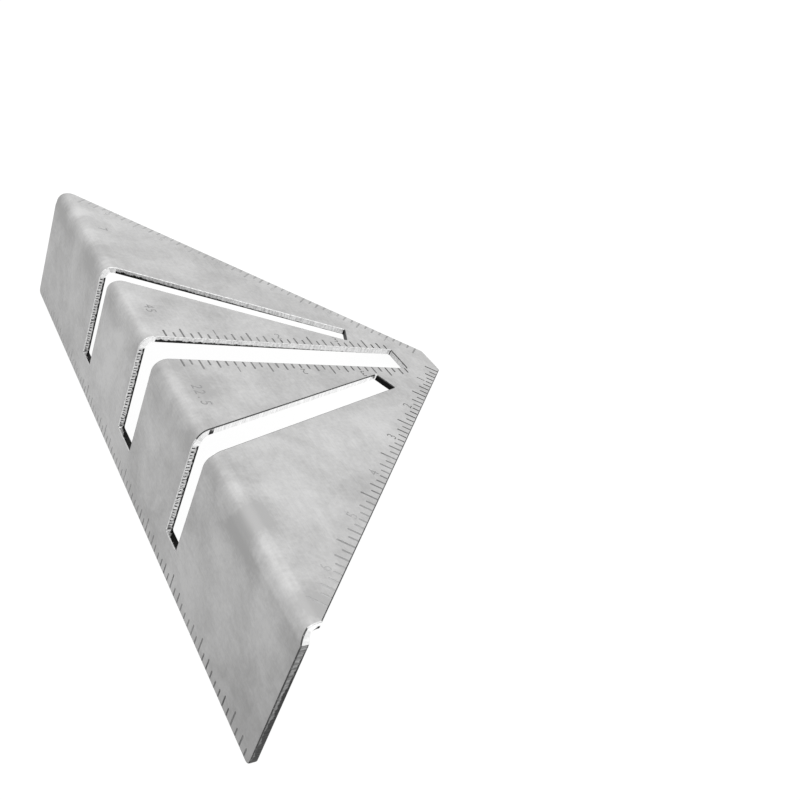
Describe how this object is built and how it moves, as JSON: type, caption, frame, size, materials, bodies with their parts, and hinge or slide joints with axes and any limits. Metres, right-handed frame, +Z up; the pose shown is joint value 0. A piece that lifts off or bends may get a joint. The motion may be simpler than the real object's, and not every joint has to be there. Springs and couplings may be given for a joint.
{
  "type": "speed square",
  "caption": "Folded steel speed square: right-angled triangular plate with marking slots and etched inch scales, bent along its long side into a fence flange.",
  "frame": {"origin": "Middle of the bounding box's bottom face. The square stands like a tent on the flange's inner lower edge and the apex's lower edge.", "axes": "+X along the fold, towards the flange's trimmed end; +Y from the flange towards the apex; +Z up."},
  "size_m": [0.2484, 0.1288, 0.0457],
  "materials": {
    "steel": "brushed stainless sheet, satin, with faint cloudy stains",
    "etched_mark": "matte dark etched marks"
  },
  "bodies": {
    "root": {"folded_plate": "steel", "right_edge_ticks": "etched_mark", "right_edge_numeral_1": "etched_mark", "right_edge_numeral_2": "etched_mark", "right_edge_numeral_3": "etched_mark", "right_edge_numeral_4": "etched_mark", "right_edge_numeral_5": "etched_mark", "right_edge_numeral_6": "etched_mark", "left_edge_ticks": "etched_mark", "left_edge_numeral_1": "etched_mark", "left_edge_numeral_2": "etched_mark", "left_edge_numeral_3": "etched_mark", "left_edge_numeral_4": "etched_mark", "left_edge_numeral_5": "etched_mark", "left_edge_numeral_6": "etched_mark", "slot_right_ticks": "etched_mark", "slot_right_numeral_1": "etched_mark", "slot_right_numeral_2": "etched_mark", "slot_right_numeral_3": "etched_mark", "slot_left_ticks": "etched_mark", "slot_left_numeral_1": "etched_mark", "slot_left_numeral_2": "etched_mark", "slot_left_numeral_3": "etched_mark", "flange_edge_ticks": "etched_mark", "label_1_character_1": "etched_mark", "label_2_character_1": "etched_mark", "label_2_character_2": "etched_mark", "label_3_character_1": "etched_mark", "label_3_character_2": "etched_mark", "label_3_character_3": "etched_mark", "label_3_character_4": "etched_mark"}
  },
  "joints": []
}
